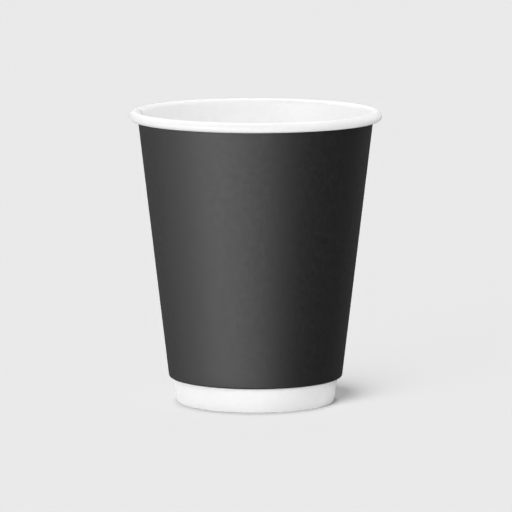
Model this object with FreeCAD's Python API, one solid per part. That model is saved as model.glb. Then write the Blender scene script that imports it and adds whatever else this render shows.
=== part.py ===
"""Double-wall paper coffee cup, 8 oz (240 ml), without its lid.

Three pieces of coated paperboard make the cup:
  cup_wall      a tapered tube, lapped and sealed along one side. Its top edge is rolled outwards
                into the rim, and its bottom edge is folded in and up as a hem.
  cup_base      a disc with its edge turned down into a skirt, which the hem grips against the wall.
  outer_sleeve  a second tapered tube, lapped along one side. Its top edge is tucked up behind the
                rolled rim, and its bottom edge is curled in against the wall, so that a layer of
                air is kept between the two.

Each piece is a strip of board seen in section and revolved about the cup's axis, and the lap of
its side seam is added along the slant. Millimetres, +Z up. The origin is the middle of the foot,
on the table. The front is -Y, and both seams are turned away from it.
"""

import FreeCAD, Part
import math
import os

from FreeCAD import Vector

# Overall sizes
rim_diameter = 80.0          # over the rolled rim, the size that a lid snaps over
cup_height = 92.8            # from the table to the top of the rim
foot_diameter = 50.2         # over the fold that the cup stands on

# Boards
wall_thickness = 0.35        # cup board with its coating
base_thickness = 0.32        # lighter board, because the base is drawn over a die
sleeve_thickness = 0.35      # uncoated board, printed on its outer face
seal_gap = 0.03              # film of coating or glue between two pieces that are sealed together

# Rolled rim
rim_bend_radius = 1.575      # middle of the board, over the top of the rim
rim_edge_turn = 90.0         # degrees that the cut edge is wound on inside the roll
sleeve_to_rim_gap = 0.05     # between the sleeve's top edge and the roll in front of it

# Foot
fold_radius = 0.25           # middle of the board, at each corner of the fold
hem_height = 6.4             # from the table to the hem's cut edge
recess_depth = 7.2           # from the table to the underside of the base
base_bend_radius = 0.45      # middle of the board, where the base turns down into its skirt
skirt_to_fold_gap = 0.3      # from the skirt's cut edge to the inside of the fold

# Outer sleeve
sleeve_above_table = 7.9     # white foot left bare below the sleeve
air_gap = 1.15               # from the wall to the sleeve, just above the bottom curl
sleeve_tuck = 0.6            # how far the top edge reaches up behind the rolled rim
curl_turn = 270.0            # degrees that the bottom edge is curled in

# Side seams
wall_seam_angle = 165.0      # degrees from +X, so on the left and a little behind
wall_lap_width = 6.5
wall_lap_rise = 0.15         # the pressed lap stands this proud of each face of the wall
sleeve_seam_angle = 78.0     # degrees from +X, so behind
sleeve_lap_width = 8.0
lap_ramp = 1.2               # over which the outer layer of a lap comes down again
lap_bite = 0.05              # the ramp ends this far under the face
lap_end_gap = 0.2            # a lap stops this far short of a fold, a roll or another piece

ORIGIN = Vector(0, 0, 0)
UP = Vector(0, 0, 1)


class BoardStrip:
    """A strip of board in section, walked along the middle of the board in the XZ plane. Both
    faces of the board are drawn on the way, half a thickness to either side."""

    def __init__(self, radius, height, heading, thickness):
        self.place = Vector(radius, 0, height)
        self.heading = heading
        self.half = thickness / 2
        self.right_edges, self.left_edges = [], []
        self.cut_ends = [self.cut_end()]

    def leftwards(self):
        angle = math.radians(self.heading)
        return Vector(-math.sin(angle), 0, math.cos(angle))

    def cut_end(self):
        across = self.leftwards() * self.half
        return Part.LineSegment(self.place - across, self.place + across).toShape()

    def run(self, length):
        """A straight stretch."""
        angle = math.radians(self.heading)
        end = self.place + Vector(math.cos(angle), 0, math.sin(angle)) * length
        across = self.leftwards() * self.half
        self.right_edges.append(Part.LineSegment(self.place - across, end - across).toShape())
        self.left_edges.append(Part.LineSegment(self.place + across, end + across).toShape())
        self.place = end
        return self

    def turn(self, radius, degrees):
        """A bend, anticlockwise where degrees is positive and clockwise where it is negative."""
        way = math.copysign(1.0, degrees)
        centre = self.place + self.leftwards() * (way * radius)
        spokes = []
        for share in (0.0, 0.5, 1.0):
            angle = math.radians(self.heading + degrees * share)
            spokes.append(Vector(math.sin(angle), 0, -math.cos(angle)) * way)
        right, left = radius + way * self.half, radius - way * self.half
        self.right_edges.append(Part.Arc(*(centre + spoke * right for spoke in spokes)).toShape())
        self.left_edges.append(Part.Arc(*(centre + spoke * left for spoke in spokes)).toShape())
        self.place = centre + spokes[-1] * radius
        self.heading += degrees
        return self

    def revolved(self):
        """The solid that the strip makes when it is carried once round the cup's axis."""
        start, end = self.cut_ends[0], self.cut_end()
        outline = Part.Wire([start, *self.right_edges, end, *self.left_edges[::-1]])
        return Part.Face(outline).revolve(ORIGIN, UP, 360)


class Slant:
    """A straight side of the cup in section. It leans outwards, and touches a circle about centre
    on the circle's outer side."""

    def __init__(self, centre, circle_radius, lean):
        self.centre = centre
        self.circle_radius = circle_radius
        self.lean = lean

    def radius(self, height, outwards=0.0):
        """Distance from the axis at a height, on a line that lies outwards of this one."""
        square = (self.circle_radius + outwards) / math.cos(self.lean)
        return self.centre.x + square + (height - self.centre.z) * math.tan(self.lean)

    def touch_height(self):
        """Height at which the slant leaves its circle."""
        return self.centre.z - self.circle_radius * math.sin(self.lean)


def slant_past(low_centre, low_radius, high_centre, high_radius):
    """The slant that passes outside the low circle and inside the high one. A point is a circle
    of no radius."""
    way = high_centre - low_centre
    lean = math.atan2(way.x, way.z) - math.asin((low_radius + high_radius) / way.Length)
    return Slant(low_centre, low_radius, lean)


# Wall: its middle line touches the fold's outer corner and the first bend of the rim
wall_half = wall_thickness / 2
fold_centre = Vector(foot_diameter / 2 - fold_radius - wall_half, 0, fold_radius + wall_half)
rim_centre = Vector(rim_diameter / 2 - rim_bend_radius - wall_half, 0,
                    cup_height - rim_bend_radius - wall_half)
wall = slant_past(fold_centre, fold_radius, rim_centre, rim_bend_radius)
wall_lean = math.degrees(wall.lean)
wall_top = rim_centre.z + rim_bend_radius * math.sin(wall.lean)

# Rim: the roll comes back down as close to the wall as the sleeve's tucked edge lets it
sleeve_standoff = wall_lap_rise + seal_gap
behind_rim = sleeve_standoff + sleeve_thickness + sleeve_to_rim_gap
roll_inside = wall.radius(rim_centre.z, wall_half + behind_rim)
rim_tuck_radius = (rim_diameter / 2 - wall_thickness - roll_inside) / 2
rim_end_radius = rim_tuck_radius - wall_thickness
rim_underside = rim_centre.z - rim_tuck_radius - wall_half

# Sleeve: its middle line starts behind the rim and touches the curl, which just fills the air gap
sleeve_half = sleeve_thickness / 2
curl_radius = (air_gap - sleeve_standoff) / 2
curl_height = sleeve_above_table + curl_radius + sleeve_half
curl_outwards = wall_half + sleeve_standoff + sleeve_half + curl_radius
curl_centre = Vector(wall.radius(curl_height, curl_outwards), 0, curl_height)
sleeve_top = rim_underside + sleeve_tuck
sleeve_top_outwards = wall_half + sleeve_standoff + sleeve_half
sleeve_edge = Vector(wall.radius(sleeve_top, sleeve_top_outwards), 0, sleeve_top)
sleeve = slant_past(curl_centre, curl_radius, sleeve_edge, 0.0)
sleeve_lean = math.degrees(sleeve.lean)


def lap(side, face_outwards, rise, width, seam_angle, low, high, board_half):
    """The extra layer of a side seam, which stands on one face of the board between two heights.
    It is as wide at the top as at the bottom. Its cut edge is square, and past its other side the
    board ramps back down. A negative rise stands inwards, with the cut edge on the other side."""
    way = math.copysign(1.0, rise)

    def section(height):
        face = side.radius(height, face_outwards)
        bed, crest, toe = face - way * board_half, face + rise, face - way * lap_bite

        def at(radius, along):
            angle = math.radians(seam_angle) + way * along / face
            return Vector(radius * math.cos(angle), radius * math.sin(angle), height)

        cut_edge, flat_end = -width / 2, width / 2
        ramp_end = flat_end + lap_ramp
        middle = (cut_edge + ramp_end) / 2
        return Part.Wire([
            Part.LineSegment(at(bed, cut_edge), at(crest, cut_edge)).toShape(),
            Part.Arc(at(crest, cut_edge), at(crest, 0.0), at(crest, flat_end)).toShape(),
            Part.LineSegment(at(crest, flat_end), at(toe, ramp_end)).toShape(),
            Part.LineSegment(at(toe, ramp_end), at(bed, ramp_end)).toShape(),
            Part.Arc(at(bed, ramp_end), at(bed, middle), at(bed, cut_edge)).toShape(),
        ])

    return Part.makeLoft([section(low), section(high)], True, True)


def make_cup_wall():
    """Hem, fold, wall and rolled rim in one strip, with the lap of the side seam on both faces of
    the wall and on the hem's bare face. In the roll the lap is pressed flat."""
    hem_inwards = wall_thickness + base_thickness + 2 * seal_gap
    hem_length = (hem_height - fold_centre.z) / math.cos(wall.lean) - fold_radius * math.tan(wall.lean)
    standing_flat = (hem_inwards - 2 * fold_radius) / math.cos(wall.lean)
    wall_length = (wall_top - wall.touch_height()) / math.cos(wall.lean)
    strip = BoardStrip(wall.radius(hem_height, -hem_inwards), hem_height,
                       -90 - wall_lean, wall_thickness)
    strip.run(hem_length).turn(fold_radius, 90 + wall_lean)
    strip.run(standing_flat).turn(fold_radius, 90 - wall_lean)
    strip.run(wall_length).turn(rim_bend_radius, wall_lean - 180)
    strip.turn(rim_tuck_radius, -180).turn(rim_end_radius, -rim_edge_turn)

    lap_top = wall_top - lap_end_gap
    outer_lap = lap(wall, wall_half, wall_lap_rise, wall_lap_width, wall_seam_angle,
                    wall.touch_height() + lap_end_gap, lap_top, wall_half)
    inner_lap = lap(wall, -wall_half, -wall_lap_rise, wall_lap_width, wall_seam_angle,
                    recess_depth + base_thickness + lap_end_gap, lap_top, wall_half)
    hem_lap = lap(wall, -hem_inwards - wall_half, -wall_lap_rise, wall_lap_width, wall_seam_angle,
                  fold_centre.z + lap_end_gap, hem_height - lap_end_gap, wall_half)
    return strip.revolved().fuse([outer_lap, inner_lap, hem_lap]).removeSplitter()


def make_cup_base():
    """A disc, the bend at its edge, and the skirt that runs down into the fold."""
    middle_height = recess_depth + base_thickness / 2
    bend_height = middle_height - base_bend_radius
    skirt_inwards = wall_half + seal_gap + base_thickness / 2
    bend_distance = wall.radius(bend_height, -skirt_inwards - base_bend_radius)
    skirt_top = bend_height - base_bend_radius * math.sin(wall.lean)
    skirt_bottom = wall_thickness + skirt_to_fold_gap
    strip = BoardStrip(0.0, middle_height, 0.0, base_thickness)
    strip.run(bend_distance).turn(base_bend_radius, -90 - wall_lean)
    strip.run((skirt_top - skirt_bottom) / math.cos(wall.lean))
    return strip.revolved()


def make_outer_sleeve():
    """The sleeve from its tucked top edge down to its bottom curl, and the lap of its seam."""
    strip = BoardStrip(sleeve_edge.x, sleeve_edge.z, -90 - sleeve_lean, sleeve_thickness)
    strip.run((sleeve_top - sleeve.touch_height()) / math.cos(sleeve.lean))
    strip.turn(curl_radius, -curl_turn)
    outer_lap = lap(sleeve, sleeve_half, sleeve_thickness, sleeve_lap_width, sleeve_seam_angle,
                    curl_height + lap_end_gap, rim_underside - lap_end_gap, sleeve_half)
    return strip.revolved().fuse(outer_lap).removeSplitter()


pieces = {
    "cup_wall": make_cup_wall(),
    "cup_base": make_cup_base(),
    "outer_sleeve": make_outer_sleeve(),
}

os.makedirs("parts", exist_ok=True)
for name, shape in pieces.items():
    shape.exportStep(f"parts/{name}.step")
    print(f"{name}: {len(shape.Solids)} solid, valid {shape.isValid()}, {shape.Volume:.0f} mm3 of board")
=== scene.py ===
"""A double-wall paper coffee cup as photographed: white cup, plain black sleeve, no lid.

Its three boards are made as the real ones are. Each is one sheet that goes once round the cup's
axis and laps over itself, worked out as both faces of a section carried round. Lengths are in
metres, +Z is up, the cup stands on z = 0, and the photograph is taken from -Y.
"""

import math
from collections import namedtuple

import bmesh
import bpy
import numpy as np
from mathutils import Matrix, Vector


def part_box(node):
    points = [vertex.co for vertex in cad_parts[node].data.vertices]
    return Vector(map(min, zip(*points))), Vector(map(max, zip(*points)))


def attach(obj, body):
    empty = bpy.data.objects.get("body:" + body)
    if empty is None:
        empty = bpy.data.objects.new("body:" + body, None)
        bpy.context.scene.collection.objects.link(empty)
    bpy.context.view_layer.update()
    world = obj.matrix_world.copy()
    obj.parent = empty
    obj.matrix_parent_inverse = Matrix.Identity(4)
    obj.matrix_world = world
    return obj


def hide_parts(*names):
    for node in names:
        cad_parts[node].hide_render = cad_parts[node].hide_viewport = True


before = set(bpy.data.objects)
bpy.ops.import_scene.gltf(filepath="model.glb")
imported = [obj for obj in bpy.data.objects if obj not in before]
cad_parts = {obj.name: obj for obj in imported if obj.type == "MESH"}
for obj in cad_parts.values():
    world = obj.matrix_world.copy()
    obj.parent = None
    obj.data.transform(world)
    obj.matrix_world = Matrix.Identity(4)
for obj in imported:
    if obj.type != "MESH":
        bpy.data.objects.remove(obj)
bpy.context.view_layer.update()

# The side wall is one blank of white cup board with a film of plastic on the drink's side. It is
# wrapped round a mandrel and heat-sealed to itself along a lap. Then its top edge is rolled
# outwards into the rim, and its bottom edge is folded up round the base's skirt as a hem.
mm = 0.001
wall_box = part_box("cup_wall")
rim_radius = wall_box[1].x
cup_height = wall_box[1].z
foot_radius = 25.1 * mm
wall_board = 0.35 * mm
base_board = 0.32 * mm
film = 0.03 * mm
rim_bend = 1.575 * mm
fold_bend = 0.25 * mm
hem_height = 6.4 * mm
base_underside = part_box("cup_base")[1].z - base_board
wall_seam = math.radians(165)
wall_lap = 6.5 * mm
wall_lap_rise = 0.15 * mm
lap_ramp = 1.6 * mm
sleeve_board = 0.35 * mm
sleeve_to_rim = 0.05 * mm

Section = namedtuple("Section", "points normals along ends")


class Side:
    """A straight side in section, which leans outwards past the outer side of a circle."""

    def __init__(self, low, low_bend, high, high_bend):
        """The lean is that of the line through both circles' centres, less the angle whose sine
        is both bends together over the distance between the centres."""
        across = high[0] - low[0]
        up = high[1] - low[1]
        self.low = low
        self.bend = low_bend
        self.lean = math.atan2(across, up) - math.asin((low_bend + high_bend) / math.hypot(across, up))

    def radius(self, height, outwards=0.0):
        """The circle's centre, plus its bend squared to the lean, plus the rise times the lean."""
        square = (self.bend + outwards) / math.cos(self.lean)
        return self.low[0] + square + (height - self.low[1]) * math.tan(self.lean)

    def start(self):
        """Height at which the side leaves its low circle."""
        return self.low[1] - self.bend * math.sin(self.lean)


def walked(start, heading, stretches):
    """The middle line of a board in section, walked in stretches of a size, a turn in degrees and
    a number of rows. With no turn the size is a length, and the point moves by that length along
    the heading. With a turn the size is a radius, and the point swings about a centre that lies
    one radius to its left, or to its right where the turn is negative. Gives the points
    (radius, height), the unit normals on the right of the way, and the distance walked."""
    place = np.array(start)
    points = [place[None]]
    bearings = [np.radians([heading])]
    along = [np.zeros(1)]
    ends = []
    for size, turn, rows in stretches:
        share = np.linspace(0, 1, rows + 1)[1:]
        first = bearings[-1][-1]
        swing = first + math.radians(turn) * share
        if turn:
            arm = math.copysign(size, turn)
            centre = place + arm * np.array([-math.sin(first), math.cos(first)])
            stretch = centre - arm * np.stack([-np.sin(swing), np.cos(swing)], 1)
            length = size * abs(math.radians(turn))
        else:
            stretch = place + size * share[:, None] * np.array([math.cos(first), math.sin(first)])
            length = size
        along.append(along[-1][-1] + length * share)
        ends.append(along[-1][-1])
        points.append(stretch)
        bearings.append(swing)
        place = stretch[-1]
    bearings = np.concatenate(bearings)
    normals = np.stack([np.sin(bearings), -np.cos(bearings)], 1)
    return Section(np.concatenate(points), normals, np.concatenate(along), ends)


def wrapped(section, board, lean, seam, lap, ramp, under, over, columns=276, lap_columns=8):
    """Both faces of a board that goes once round and laps over itself, and its flat blank.
    The angle of a column is the seam's, less its share of a whole turn, less a length over the
    row's radius, so that the lap is as wide at the top as at the bottom. A face lies half a
    thickness to one side of the middle line. Under the lap and over it, that line shifts and the
    board thins by row, as under and over say, and both come back over a ramp with a smooth step.
    The blank is a ring sector: its radius is the distance from the cone's tip, which grows along
    a section that runs up and shrinks along one that runs down, and its angle is the angle round
    the cup times the sine of the lean."""
    lap_lengths = np.linspace(-lap / 2, lap / 2, lap_columns)
    ramp_share = np.linspace(0, 1, lap_columns)[1:]
    lengths = np.concatenate([lap_lengths, lap / 2 + ramp * ramp_share])
    weight = np.concatenate([np.ones(lap_columns), 1 - ramp_share ** 2 * (3 - 2 * ramp_share)])
    middle = np.linspace(0, 1, columns + 1)[1:-1]
    none = np.zeros_like(lengths)
    turns = np.concatenate([none, middle, none + 1])
    lengths = np.concatenate([lengths, lengths[-1] * (1 - 2 * middle), -lengths[::-1]])
    under_weight = np.concatenate([weight, 0 * middle, none])
    over_weight = np.concatenate([none, 0 * middle, weight[::-1]])

    radius = section.points[:, :1]
    angle = seam - 2 * np.pi * turns - lengths / radius
    shift = under[0][:, None] * under_weight + over[0][:, None] * over_weight
    half = board / 2 + (under[1] - board / 2)[:, None] * under_weight
    half = half + (over[1] - board / 2)[:, None] * over_weight
    faces = []
    for side in (1, -1):
        reach = shift + side * half
        out = radius + reach * section.normals[:, :1]
        height = section.points[:, 1:] + reach * section.normals[:, 1:]
        faces.append(np.stack([out * np.cos(angle), out * np.sin(angle), height], 2))

    climb = math.copysign(1, section.points[-1, 1] - section.points[0, 1])
    blank_radius = section.points[0, 0] / math.sin(lean) + climb * section.along[:, None]
    blank_angle = (seam - angle) * math.sin(lean)
    blank = np.stack([blank_radius * np.cos(blank_angle), blank_radius * np.sin(blank_angle)], 2)
    return faces[0], faces[1], blank


def board_piece(name, faces, materials, ring=False):
    """One closed mesh from the two faces of a board. Strips close the cut edges between them. A
    ring joins its last column to its first, and its first row is a pole, merged to one point.
    The materials are those of the right face, the left face and the cut edges. Folds of more than
    the sharp angle, in degrees, are shaded as edges."""
    sharp_angle = 35
    right, left, blank = faces
    rows, columns = right.shape[:2]
    index = np.arange(rows * columns).reshape(rows, columns)
    if ring:
        index = np.concatenate([index, index[:, :1]], 1)
    here, ahead = index[:-1, :-1], index[1:, :-1]
    here_next, ahead_next = index[:-1, 1:], index[1:, 1:]
    other = rows * columns

    def quads(*corners):
        return np.stack([c.ravel() for c in corners], 1)

    parts = [
        quads(here, ahead, ahead_next, here_next),
        quads(here, here_next, ahead_next, ahead) + other,
        quads(index[-1, :-1], index[-1, :-1] + other, index[-1, 1:] + other, index[-1, 1:]),
    ]
    if not ring:
        parts += [
            quads(index[0, :-1], index[0, 1:], index[0, 1:] + other, index[0, :-1] + other),
            quads(index[:-1, 0], index[:-1, 0] + other, index[1:, 0] + other, index[1:, 0]),
            quads(index[:-1, -1], index[1:, -1], index[1:, -1] + other, index[:-1, -1] + other),
        ]
    slots = np.concatenate([np.full(len(p), min(i, 2)) for i, p in enumerate(parts)])
    corners = np.concatenate(parts)

    mesh = bpy.data.meshes.new(name)
    points = np.concatenate([right.reshape(-1, 3), left.reshape(-1, 3)])
    mesh.from_pydata(points.tolist(), [], corners.tolist())
    mesh.polygons.foreach_set("material_index", slots)
    flat = np.concatenate([blank.reshape(-1, 2)] * 2)
    layer = mesh.uv_layers.new(name="blank")
    layer.data.foreach_set("uv", flat[corners.ravel()].ravel())
    if ring:
        work = bmesh.new()
        work.from_mesh(mesh)
        bmesh.ops.remove_doubles(work, verts=work.verts, dist=0.001 * mm)
        work.to_mesh(mesh)
        work.free()
    mesh.shade_smooth()
    mesh.set_sharp_from_angle(angle=math.radians(sharp_angle))
    for material in materials:
        mesh.materials.append(material)
    piece = bpy.data.objects.new(name, mesh)
    bpy.context.scene.collection.objects.link(piece)
    return piece


class Wire:
    """A socket of a node tree. Arithmetic on it adds Math nodes, and node adds any other."""

    def __init__(self, tree, socket=None):
        self.tree = tree
        self.socket = socket

    def node(self, kind, settings=None, inputs=None, output=0):
        """Adds a node of a kind. Its settings are set first, then its sockets get their values or
        links. A socket goes by its name, or by its identifier where names repeat."""
        made = self.tree.nodes.new(kind)
        for key, value in (settings or {}).items():
            setattr(made, key, value)
        for key, value in (inputs or {}).items():
            socket = next(s for s in made.inputs if key in (s.identifier, s.name))
            if isinstance(value, Wire):
                self.tree.links.new(value.socket, socket)
            else:
                socket.default_value = value
        return Wire(self.tree, made.outputs[output]) if made.outputs else None

    def with_value(self, operation, other):
        return self.node("ShaderNodeMath", {"operation": operation}, {"Value": self, "Value_001": other})

    def __add__(self, other):
        return self.with_value("ADD", other)

    def __sub__(self, other):
        return self.with_value("SUBTRACT", other)

    def __mul__(self, other):
        return self.with_value("MULTIPLY", other)

    def __gt__(self, other):
        return self.with_value("GREATER_THAN", other)

    __radd__ = __add__
    __rmul__ = __mul__


def new_material(name):
    """A material with nothing in it but its output, and a wire to hang its nodes on."""
    material = bpy.data.materials.new(name)
    material.use_nodes = True
    material.node_tree.nodes.clear()
    return material, Wire(material.node_tree)


def board_material(name, light, dark, roughness, specular, fibre):
    """Paperboard, patterned on its flat blank in millimetres. Clouds a few millimetres across,
    where the fibres lie thicker, shade between the dark and the light colour and move the
    roughness. Fine noise, drawn out along the fibres, raises the surface by up to fibre."""
    material, wire = new_material(name)
    flat = wire.node("ShaderNodeUVMap", {"uv_map": "blank"})
    blank = wire.node("ShaderNodeVectorMath", {"operation": "SCALE"}, {"Vector": flat, "Scale": 1 / mm})
    clouds = wire.node("ShaderNodeTexNoise", {"noise_dimensions": "2D"},
                       {"Vector": blank, "Scale": 0.45, "Detail": 4.0, "Roughness": 0.6})
    strands = wire.node("ShaderNodeMapping", {}, {"Vector": blank, "Scale": (1.6, 5.5, 1.0)})
    fibres = wire.node("ShaderNodeTexNoise", {"noise_dimensions": "2D"},
                       {"Vector": strands, "Scale": 1.0, "Detail": 3.0, "Roughness": 0.65})
    relief = 0.75 * fibres + 0.25 * clouds
    normal = wire.node("ShaderNodeBump", {}, {"Strength": 1.0, "Distance": fibre, "Height": relief})
    spread = wire.node("ShaderNodeMapRange", {"interpolation_type": "SMOOTHSTEP"},
                       {"Value": 0.6 * clouds + 0.4 * fibres, "From Min": 0.3, "From Max": 0.7})
    colour = wire.node("ShaderNodeMix", {"data_type": "RGBA"},
                       {"Factor_Float": spread, "A_Color": (*dark, 1), "B_Color": (*light, 1)}, output=2)
    shader = wire.node("ShaderNodeBsdfPrincipled", {}, {
        "Base Color": colour,
        "Roughness": roughness + 0.12 * (spread - 0.5),
        "Normal": normal,
        "Specular IOR Level": specular,
    })
    wire.node("ShaderNodeOutputMaterial", {}, {"Surface": shader})
    return material


fold_centre = (foot_radius - fold_bend - wall_board / 2, fold_bend + wall_board / 2)
rim_centre = (rim_radius - rim_bend - wall_board / 2, cup_height - rim_bend - wall_board / 2)
wall = Side(fold_centre, fold_bend, rim_centre, rim_bend)
wall_lean = math.degrees(wall.lean)
upright = math.cos(wall.lean)
wall_top = rim_centre[1] + rim_bend * math.sin(wall.lean)
hem_inwards = wall_board + base_board + 2 * film
sleeve_standoff = wall_lap_rise + film
roll_inside = wall.radius(rim_centre[1], wall_board / 2 + sleeve_standoff + sleeve_board + sleeve_to_rim)
rim_tuck = (rim_radius - wall_board - roll_inside) / 2

wall_section = walked((wall.radius(hem_height, -hem_inwards), hem_height), -90 - wall_lean, [
    ((hem_height - fold_centre[1]) / upright - fold_bend * math.tan(wall.lean), 0, 6),
    (fold_bend, 90 + wall_lean, 7),
    ((hem_inwards - 2 * fold_bend) / upright, 0, 1),
    (fold_bend, 90 - wall_lean, 6),
    ((wall_top - wall.start()) / upright, 0, 30),
    (rim_bend, wall_lean - 180, 20),
    (rim_tuck, -180, 16),
    (rim_tuck - wall_board, -90, 6),
])

# Along the section, how thick the two layers of the lap are together, and how far their middle
# lies to the right: outside on the wall, on the bare face of the hem, and inside the rim's roll
hem_end, _, _, fold_end, wall_end, *_, roll_end = wall_section.ends
base_top = fold_end + base_underside + base_board
stops = [0, hem_end - 2.5 * mm, hem_end, fold_end, fold_end + 2.5 * mm, base_top - 1.5 * mm,
         base_top + 0.5 * mm, wall_end - 6 * mm, wall_end, roll_end]
extra = np.array([0.26, 0.26, 0.06, 0.06, 0.26, 0.26, 0.30, 0.30, 0.15, 0.12]) * mm
lean_right = np.array([0.13, 0.13, -0.03, -0.03, 0.13, 0.13, 0.0, 0.0, 0.075, 0.06]) * mm
lap_extra = np.interp(wall_section.along, stops, extra)
lap_right = np.interp(wall_section.along, stops, lean_right)
lap_half = (wall_board + lap_extra - film) / 4
lap_shift = lap_half + film / 2

film_face = board_material("cup_board_film", (0.91, 0.91, 0.91), (0.885, 0.885, 0.885),
                           roughness=0.38, specular=0.35, fibre=0.008 * mm)
white_face = board_material("cup_board_white", (0.905, 0.905, 0.905), (0.88, 0.88, 0.88),
                            roughness=0.6, specular=0.25, fibre=0.016 * mm)
white_edge = board_material("cup_board_cut_edge", (0.84, 0.83, 0.81), (0.74, 0.73, 0.70),
                            roughness=0.85, specular=0.1, fibre=0.04 * mm)

wall_faces = wrapped(wall_section, wall_board, wall.lean, wall_seam, wall_lap, lap_ramp,
                     (lap_right - lap_shift, lap_half), (lap_right + lap_shift, lap_half))
wall_piece = board_piece("cup_wall_board", wall_faces, [white_face, film_face, white_edge])
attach(wall_piece, "root")
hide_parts("cup_wall")

# The base is a disc of lighter board, coated on the drink's side. It is drawn over a die, so that
# its edge turns down into a skirt, and it is sealed between the wall and the hem.
base_bend = 0.45 * mm
skirt_to_fold = 0.3 * mm
base_middle = base_underside + base_board / 2
bend_height = base_middle - base_bend
skirt_top = bend_height - base_bend * math.sin(wall.lean)
skirt_inwards = wall_board / 2 + film + base_board / 2
base_section = walked((0.0, base_middle), 0, [
    (wall.radius(bend_height, -skirt_inwards - base_bend), 0, 24),
    (base_bend, -90 - wall_lean, 8),
    ((skirt_top - wall_board - skirt_to_fold) / upright, 0, 4),
])


def turned(section, board, columns=240):
    """Both faces of a board in section, carried evenly once round, with no lap. Its flat blank is
    a disc, whose radius is the distance along the section."""
    angle = -2 * np.pi * np.arange(columns) / columns
    faces = []
    for side in (1, -1):
        place = section.points + side * board / 2 * section.normals
        out = np.maximum(place[:, :1], 0)
        height = place[:, 1:] + 0 * angle
        faces.append(np.stack([out * np.cos(angle), out * np.sin(angle), height], 2))
    along = section.along[:, None]
    return faces[0], faces[1], np.stack([along * np.cos(angle), along * np.sin(angle)], 2)


base_piece = board_piece("cup_base_board", turned(base_section, base_board),
                         [white_face, film_face, white_edge], ring=True)
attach(base_piece, "root")
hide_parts("cup_base")

# The outer sleeve is one blank of board, printed plain black outside and left white inside. It is
# wrapped and glued along a lap at the back. Its top edge is tucked up behind the rim, and its
# bottom edge is curled in against the wall, which keeps a layer of air between the two.
sleeve_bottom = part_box("outer_sleeve")[0].z
air_gap = 1.15 * mm
sleeve_seam = math.radians(78)
sleeve_lap = 8.0 * mm
sleeve_tuck = 0.6 * mm
curl_turn = 270
curl_bend = (air_gap - sleeve_standoff) / 2
curl_height = sleeve_bottom + curl_bend + sleeve_board / 2
sleeve_line = wall_board / 2 + sleeve_standoff + sleeve_board / 2
sleeve_top = rim_centre[1] - rim_tuck - wall_board / 2 + sleeve_tuck
curl_centre = (wall.radius(curl_height, sleeve_line + curl_bend), curl_height)
sleeve_edge = (wall.radius(sleeve_top, sleeve_line), sleeve_top)
sleeve = Side(curl_centre, curl_bend, sleeve_edge, 0.0)
sleeve_section = walked(sleeve_edge, -90 - math.degrees(sleeve.lean), [
    ((sleeve_top - sleeve.start()) / math.cos(sleeve.lean), 0, 30),
    (curl_bend, -curl_turn, 24),
])

# The section runs down the sleeve, so its right is the air gap and its left is the printed face.
# The over layer lies wholly outside, and is drawn in round the curl, where both are squeezed.
side_end, curl_end = sleeve_section.ends
stops = [0, side_end - 1.5 * mm, side_end + 0.6 * mm, curl_end]
under_shift = np.interp(sleeve_section.along, stops, np.array([0, 0, 0.10, 0.10]) * mm)
over_shift = np.interp(sleeve_section.along, stops, np.array([-0.36, -0.36, -0.17, -0.17]) * mm)
layer_half = np.interp(sleeve_section.along, stops, np.array([0.165, 0.165, 0.12, 0.12]) * mm)

printed_face = board_material("sleeve_print", (0.0135, 0.0135, 0.0135), (0.010, 0.010, 0.010),
                              roughness=0.52, specular=0.7, fibre=0.010 * mm)
bare_face = board_material("sleeve_inside", (0.80, 0.79, 0.76), (0.72, 0.71, 0.68),
                           roughness=0.8, specular=0.1, fibre=0.03 * mm)
sleeve_faces = wrapped(sleeve_section, sleeve_board, sleeve.lean, sleeve_seam, sleeve_lap, lap_ramp,
                       (under_shift, layer_half), (over_shift, layer_half))
sleeve_piece = board_piece("outer_sleeve_board", sleeve_faces, [bare_face, printed_face, white_edge])
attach(sleeve_piece, "root")
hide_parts("outer_sleeve")

# The stage is a plain floor that glows evenly, as a light table does, but for a black disc of
# painted shade under the foot, where a standing cup lets no light in. The lamps are large, soft and
# far away. Some light the floor alone, others light the cup alone, and the last are seen only in the
# sheen of its boards.
floor_size = 12.0
floor_paint = 0.08
floor_glow = 0.10
# The disc of painted shade reaches just past where the foot's fold meets the floor
painted_shade_radius = foot_radius - 0.3 * mm
bpy.ops.mesh.primitive_plane_add(size=floor_size)
floor = bpy.context.object
floor.name = "floor"
floor.visible_glossy = False
floor.visible_shadow = False
floor_material, wire = new_material("floor_paint")
place = wire.node("ShaderNodeTexCoord", output="Object")
from_middle = wire.node("ShaderNodeVectorMath", {"operation": "LENGTH"}, {"Vector": place}, output="Value")
# Painted shade: inside the disc the floor is plain black with no glow, which darkens the crease under the
# foot's fold
dark = wire.node("ShaderNodeBsdfDiffuse", {}, {"Color": (0, 0, 0, 1)})
paint = wire.node("ShaderNodeBsdfDiffuse", {}, {"Color": (floor_paint, floor_paint, floor_paint, 1)})
glow = wire.node("ShaderNodeEmission", {}, {"Strength": floor_glow})
bright = wire.node("ShaderNodeAddShader", {}, {"Shader": paint, "Shader_001": glow})
floor_shader = wire.node("ShaderNodeMixShader", {},
                         {"Fac": from_middle > painted_shade_radius, "Shader": dark, "Shader_001": bright})
wire.node("ShaderNodeOutputMaterial", {}, {"Surface": floor_shader})
floor.data.materials.append(floor_material)

world = bpy.data.worlds.new("studio")
world.use_nodes = True
world.node_tree.nodes.clear()
wire = Wire(world.node_tree)
sky_in_sheen = 0.072
sky_in_view = 0.82
seen_in_sheen = wire.node("ShaderNodeLightPath", output="Is Glossy Ray")
seen_by_camera = wire.node("ShaderNodeLightPath", output="Is Camera Ray")
sky_strength = sky_in_sheen * seen_in_sheen + sky_in_view * seen_by_camera
sky = wire.node("ShaderNodeBackground", {}, {"Color": (1, 1, 1, 1), "Strength": sky_strength})
wire.node("ShaderNodeOutputWorld", {}, {"Surface": sky})
bpy.context.scene.world = world


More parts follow.
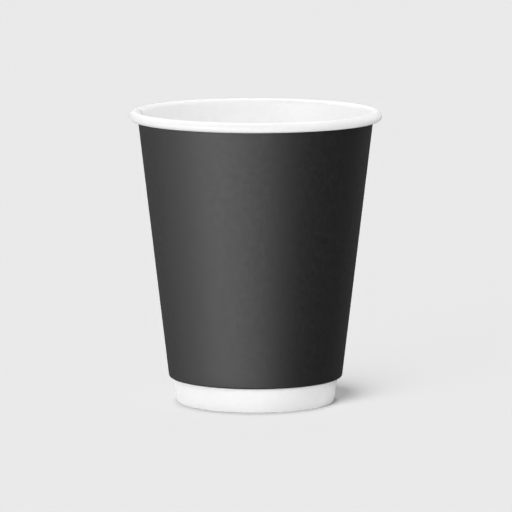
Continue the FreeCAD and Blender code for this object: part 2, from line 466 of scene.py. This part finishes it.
def far_lamp(name, azimuth, elevation, spread, strength):
    """A lamp so far away that it lights everything evenly. The azimuth is turned from the camera's
    side towards the right, the elevation is above the floor, and the spread is how wide the lamp
    looks, all in degrees."""
    lamp = bpy.data.lights.new(name, "SUN")
    lamp.energy = strength
    lamp.angle = math.radians(spread)
    holder = bpy.data.objects.new(name, lamp)
    holder.rotation_euler = (math.radians(90 - elevation), 0, math.radians(azimuth))
    bpy.context.scene.collection.objects.link(holder)
    return holder


def set_of(name, things):
    """A collection of things, which a lamp's light or its shadows can be kept to."""
    collection = bpy.data.collections.new(name)
    for thing in things:
        collection.objects.link(thing)
    return collection


# The photograph's only shadows are a short one at the right of the foot and a thin one in front.
# Only the base stops the light of these two lamps, because the whole cup would throw long ones
floor_alone = set_of("floor_alone", [floor])
base_alone = set_of("base_alone", [base_piece])
for name, azimuth, elevation, spread, strength in [
    ("side_shadow_lamp", -32, 15, 38, 68.0),
    ("front_shadow_lamp", 180, 68, 28, 11.4),
]:
    lamp = far_lamp(name, azimuth, elevation, spread, strength)
    lamp.visible_glossy = False
    lamp.light_linking.receiver_collection = floor_alone
    lamp.light_linking.blocker_collection = base_alone

cup_alone = set_of("cup_alone", [wall_piece, base_piece, sleeve_piece])
wide_spread = 35
for name, azimuth, elevation, strength in [
    ("front_lamp", 15, 25, 1.49),
    ("left_lamp", -50, 10, 1.04),
    ("back_left_lamp", -120, 25, 1.50),
    ("back_lamp", 180, 45, 1.82),
    ("right_lamp", 110, 60, 1.31),
    ("top_lamp", 15, 85, 0.30),
]:
    lamp = far_lamp(name, azimuth, elevation, wide_spread, strength)
    lamp.visible_glossy = False
    lamp.light_linking.receiver_collection = cup_alone

# The sleeve leans outwards, so its sheen mirrors what lies at the horizon and below. The floor is
# out of the sheen's sight and throws no shadow, so that these lamps reach the sleeve
for name, azimuth, elevation, spread, strength in [
    ("front_right_sheen", 20, -20, 40, 0.23),
    ("front_sheen", -5, -20, 40, 0.69),
    ("front_left_sheen", -35, 0, 40, 1.56),
    ("left_sheen", -60, 0, 40, 0.99),
    ("far_left_sheen", -100, -20, 40, 0.31),
    ("left_edge_sheen", -140, -10, 30, 0.05),
    ("right_edge_sheen", 140, 10, 30, 0.21),
]:
    lamp = far_lamp(name, azimuth, elevation, spread, strength)
    lamp.visible_diffuse = False

# The camera is far off with a long lens, a little above the rim, as the photograph's was. These
# are the values that fit the photograph's edges best.
focal_pixels = 4301
frame_pixels = 512
camera_distance = 1.367
camera_rise = math.radians(7.832)
aim = (0.000127, 0.0, 0.04631)
camera_data = bpy.data.cameras.new("camera")
camera_data.sensor_width = 36.0
camera_data.lens = camera_data.sensor_width * focal_pixels / frame_pixels
camera = bpy.data.objects.new("camera", camera_data)
camera.location = (aim[0], -camera_distance * math.cos(camera_rise),
                   aim[2] + camera_distance * math.sin(camera_rise))
camera.rotation_euler = (math.radians(90) - camera_rise, 0, 0)
camera_data.clip_end = 30
bpy.context.scene.collection.objects.link(camera)
bpy.context.scene.camera = camera
bpy.context.scene.view_settings.view_transform = "Standard"
